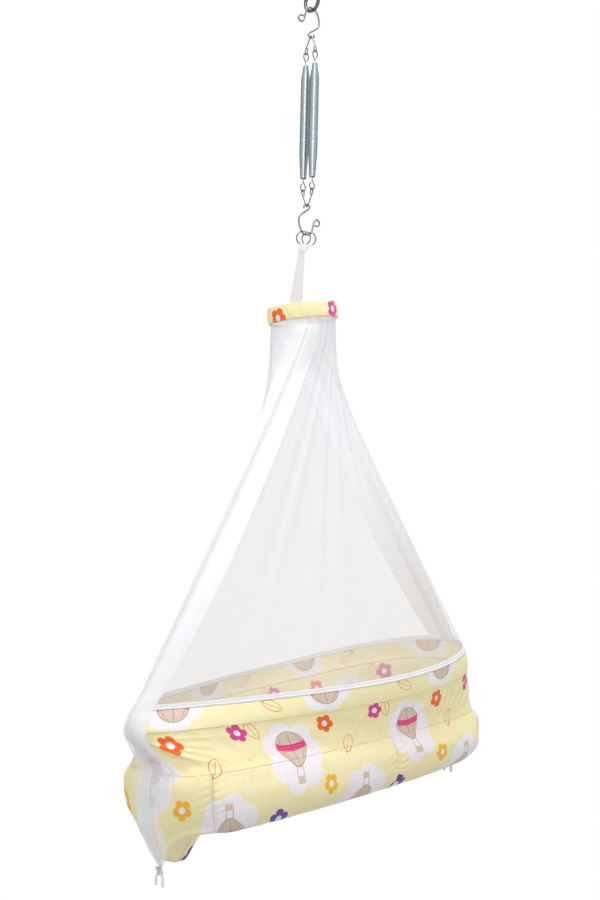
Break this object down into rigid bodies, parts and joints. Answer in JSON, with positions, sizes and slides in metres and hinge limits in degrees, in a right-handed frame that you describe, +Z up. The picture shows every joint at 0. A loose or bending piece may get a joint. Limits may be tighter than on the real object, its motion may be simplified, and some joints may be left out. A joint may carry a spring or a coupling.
{
  "type": "hanging baby cradle",
  "caption": "Hanging baby cradle: a padded, printed basket under a net tent with zipped voile straps, hung by rings, S-hooks, wire bails and paired springs from a ceiling link.",
  "frame": {"origin": "crown of the ceiling link, on its centre line, where it hangs from the ceiling hook", "axes": "+Z up, +X along the basket to its far end, -Y to its front"},
  "size_m": [0.8584, 0.3126, 1.6638],
  "materials": {
    "dark_steel": "dark, worn zinc",
    "bright_wire": "bright bent wire",
    "spring_steel": "blue-grey drawn wire",
    "white_voile": "thin sheer voile",
    "white_net": "fine mosquito net",
    "printed_cotton": "pale yellow cotton with a soft nursery print",
    "white_piping": "woven piping",
    "white_plastic": "matt moulded",
    "hardboard": "plain hardboard",
    "mattress_cover": "plain woven cover"
  },
  "bodies": {
    "ceiling_link": {"ceiling_link": "dark_steel"},
    "upper_hook": {"upper_s_hook": "bright_wire"},
    "spring_pair": {"upper_bail": "bright_wire", "front_spring": "spring_steel", "back_spring": "spring_steel"},
    "lower_bail": {"lower_bail": "bright_wire"},
    "lower_hook": {"lower_s_hook": "bright_wire"},
    "near_ring": {"near_ring": "bright_wire"},
    "far_ring": {"far_ring": "bright_wire"},
    "cradle": {"rim_piping": "white_piping", "rim_hem": "printed_cotton", "basket_wall": "printed_cotton", "padded_bumper": "printed_cotton", "base_panel": "printed_cotton", "base_board": "hardboard", "mattress": "mattress_cover", "hoop_band": "printed_cotton", "spreader_hoop": "white_plastic", "front_net": "white_net", "back_net": "white_net", "near_strap": "white_voile", "far_strap": "white_voile", "near_zip": "white_plastic", "far_zip": "white_plastic"},
    "near_slider": {"near_zip_slider": "dark_steel"},
    "far_slider": {"far_zip_slider": "dark_steel"},
    "near_front_pull": {"near_front_pull": "white_plastic"},
    "near_back_pull": {"near_back_pull": "white_plastic"},
    "far_front_pull": {"far_front_pull": "white_plastic"},
    "far_back_pull": {"far_back_pull": "white_plastic"}
  },
  "joints": [
    {"name": "upper_hook_swing", "type": "hinge", "parent": "ceiling_link", "child": "upper_hook", "pos_m": [0, 0, -0.0405], "axis": [0, 1, 0], "range_deg": [-20, 20]},
    {"name": "upper_bail_swing", "type": "hinge", "parent": "upper_hook", "child": "spring_pair", "pos_m": [0, 0, -0.09401], "axis": [1, 0, 0], "range_deg": [-15, 15]},
    {"name": "spring_stretch", "type": "slide", "parent": "spring_pair", "child": "lower_bail", "axis": [0, 0, -1], "range_m": [0, 0.12], "stiffness_N_per_m": 700, "springref_m": -0.12, "deforming": ["front_spring", "back_spring"]},
    {"name": "lower_hook_swing", "type": "hinge", "parent": "lower_bail", "child": "lower_hook", "pos_m": [0, 0, -0.42398], "axis": [0, 1, 0], "range_deg": [-15, 15]},
    {"name": "near_ring_swing", "type": "hinge", "parent": "lower_hook", "child": "near_ring", "pos_m": [0.0073, 0, -0.47516], "axis": [1, 0, 0], "range_deg": [-10, 10]},
    {"name": "far_ring_swing", "type": "hinge", "parent": "lower_hook", "child": "far_ring", "pos_m": [-0.0073, 0, -0.47545], "axis": [1, 0, 0], "range_deg": [-10, 10]},
    {"name": "cradle_swing", "type": "hinge", "parent": "near_ring", "child": "cradle", "pos_m": [0.0073, 0, -0.49836], "axis": [1, 0, 0], "range_deg": [-8, 8]},
    {"name": "near_zip_slide", "type": "slide", "parent": "cradle", "child": "near_slider", "axis": [-0.3938, 0, 0.9192], "range_m": [0, 0.045]},
    {"name": "far_zip_slide", "type": "slide", "parent": "cradle", "child": "far_slider", "axis": [0.2654, 0, 0.9641], "range_m": [0, 0.03]},
    {"name": "near_front_pull_swing", "type": "hinge", "parent": "near_slider", "child": "near_front_pull", "pos_m": [-0.3158, -0.0043, -1.64205], "axis": [0, 1, 0], "range_deg": [-15, 80]},
    {"name": "near_back_pull_swing", "type": "hinge", "parent": "near_slider", "child": "near_back_pull", "pos_m": [-0.3158, 0.0043, -1.64205], "axis": [0, 1, 0], "range_deg": [-15, 80]},
    {"name": "far_front_pull_swing", "type": "hinge", "parent": "far_slider", "child": "far_front_pull", "pos_m": [0.45244, -0.0043, -1.53036], "axis": [0, 1, 0], "range_deg": [-80, 15]},
    {"name": "far_back_pull_swing", "type": "hinge", "parent": "far_slider", "child": "far_back_pull", "pos_m": [0.45244, 0.0043, -1.53036], "axis": [0, 1, 0], "range_deg": [-80, 15]}
  ],
  "couplings": [
    {"joint": "far_ring_swing", "follows": "near_ring_swing", "ratio": 1}
  ]
}
